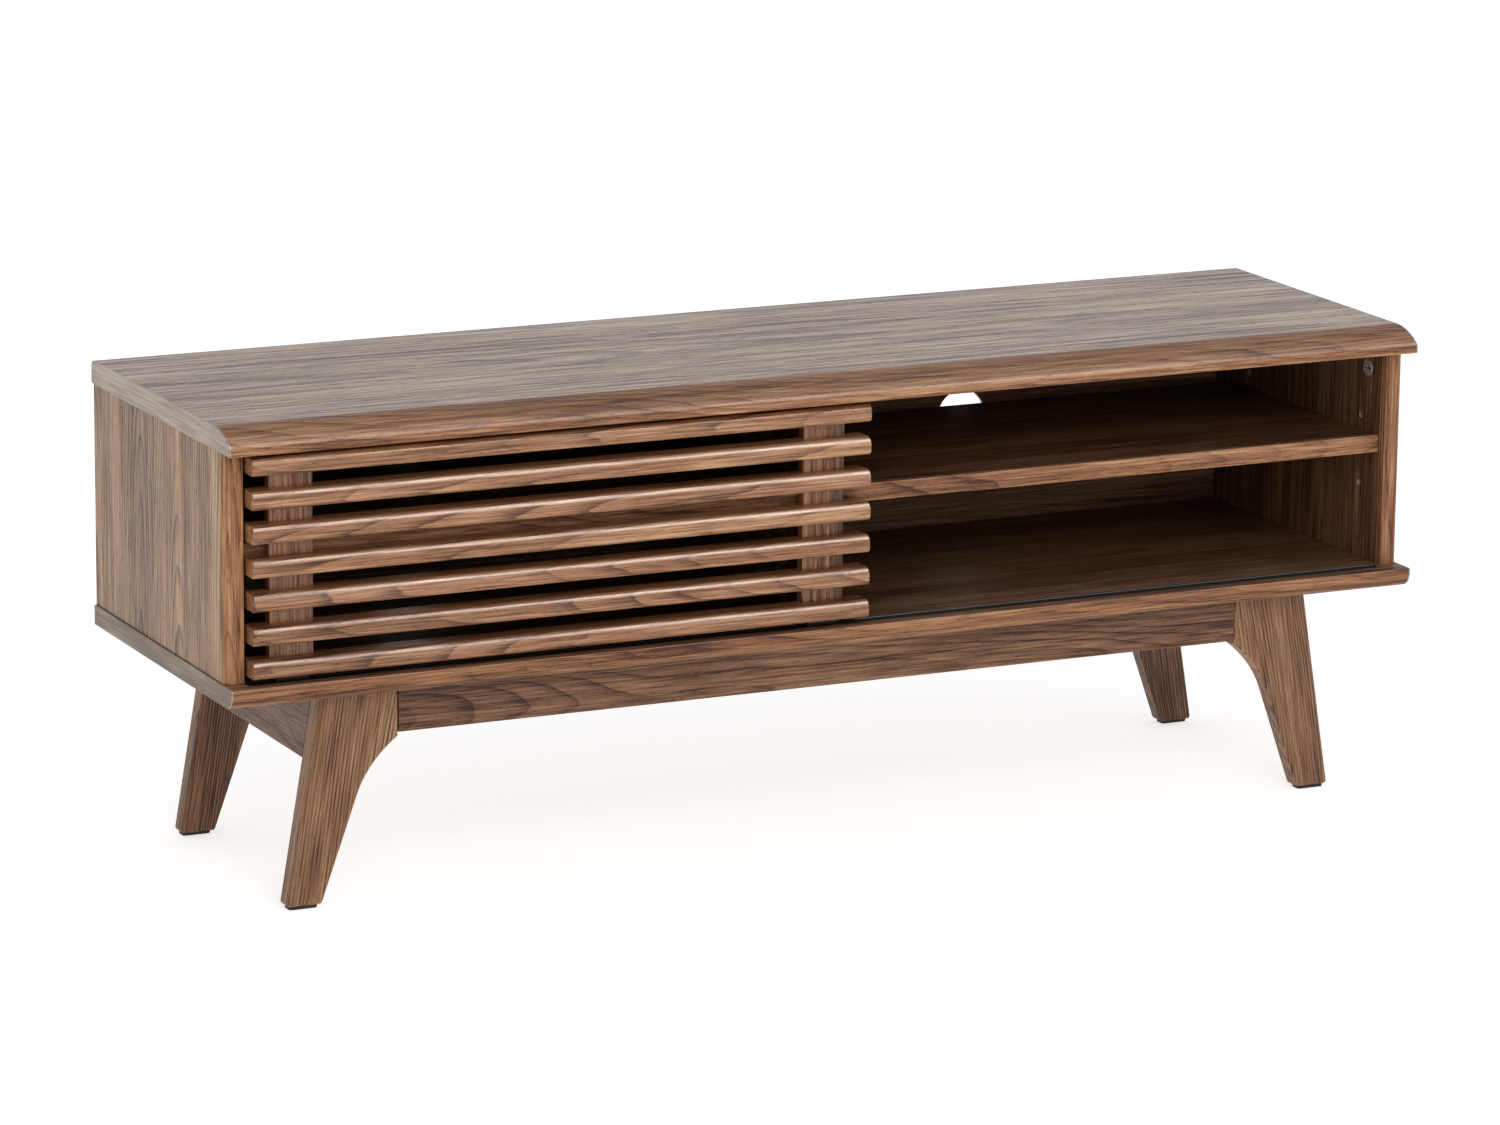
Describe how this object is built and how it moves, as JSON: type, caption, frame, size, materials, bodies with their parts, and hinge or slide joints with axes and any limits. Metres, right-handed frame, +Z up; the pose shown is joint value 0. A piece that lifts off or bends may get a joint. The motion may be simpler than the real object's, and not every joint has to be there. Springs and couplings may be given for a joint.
{
  "type": "media cabinet",
  "caption": "Low walnut media cabinet on splayed legs, with a slatted sliding door in front of open shelved compartments and cable holes in the back.",
  "frame": {"origin": "floor point under the middle of the cabinet, half way across its width and depth", "axes": "+X along the width to the right seen from the front, -Y towards the front, +Z up"},
  "size_m": [1.16, 0.34, 0.433],
  "materials": {
    "walnut_top": "satin walnut veneer, grain along the width",
    "walnut_case": "satin walnut veneer",
    "walnut_door": "satin lacquered walnut, grain along each slat",
    "walnut_frame": "satin lacquered walnut",
    "backing": "walnut-printed thin board",
    "dark_plastic": "moulded, matt",
    "zinc": "bright zinc plate",
    "glide_plastic": "dark felt-like nylon"
  },
  "bodies": {
    "cabinet": {"back_apron": "walnut_frame", "back_left_corner_block": "walnut_frame", "back_left_glide": "glide_plastic", "back_left_leg": "walnut_frame", "back_panel": "backing", "back_right_corner_block": "walnut_frame", "back_right_glide": "glide_plastic", "back_right_leg": "walnut_frame", "bottom_panel": "walnut_case", "bottom_track": "dark_plastic", "centre_divider": "walnut_case", "front_apron": "walnut_frame", "front_left_corner_block": "walnut_frame", "front_left_glide": "glide_plastic", "front_left_leg": "walnut_frame", "front_right_corner_block": "walnut_frame", "front_right_glide": "glide_plastic", "front_right_leg": "walnut_frame", "left_apron": "walnut_frame", "left_cam_lock_back": "zinc", "left_cam_lock_front": "zinc", "left_shelf": "walnut_case", "left_shelf_pin_inner_back": "zinc", "left_shelf_pin_inner_front": "zinc", "left_shelf_pin_outer_back": "zinc", "left_shelf_pin_outer_front": "zinc", "left_side_panel": "walnut_case", "right_apron": "walnut_frame", "right_cam_lock_back": "zinc", "right_cam_lock_front": "zinc", "right_shelf": "walnut_case", "right_shelf_pin_inner_back": "zinc", "right_shelf_pin_inner_front": "zinc", "right_shelf_pin_outer_back": "zinc", "right_shelf_pin_outer_front": "zinc", "right_side_panel": "walnut_case", "top_panel": "walnut_top", "top_track": "dark_plastic"},
    "door": {"door_left_bottom_guide": "dark_plastic", "door_left_stile": "walnut_door", "door_left_top_guide": "dark_plastic", "door_right_bottom_guide": "dark_plastic", "door_right_stile": "walnut_door", "door_right_top_guide": "dark_plastic", "door_slat_1": "walnut_door", "door_slat_2": "walnut_door", "door_slat_3": "walnut_door", "door_slat_4": "walnut_door", "door_slat_5": "walnut_door", "door_slat_6": "walnut_door", "door_slat_7": "walnut_door"}
  },
  "joints": [
    {"name": "door_slide", "type": "slide", "parent": "cabinet", "child": "door", "axis": [1, 0, 0], "range_m": [0, 0.531]}
  ]
}
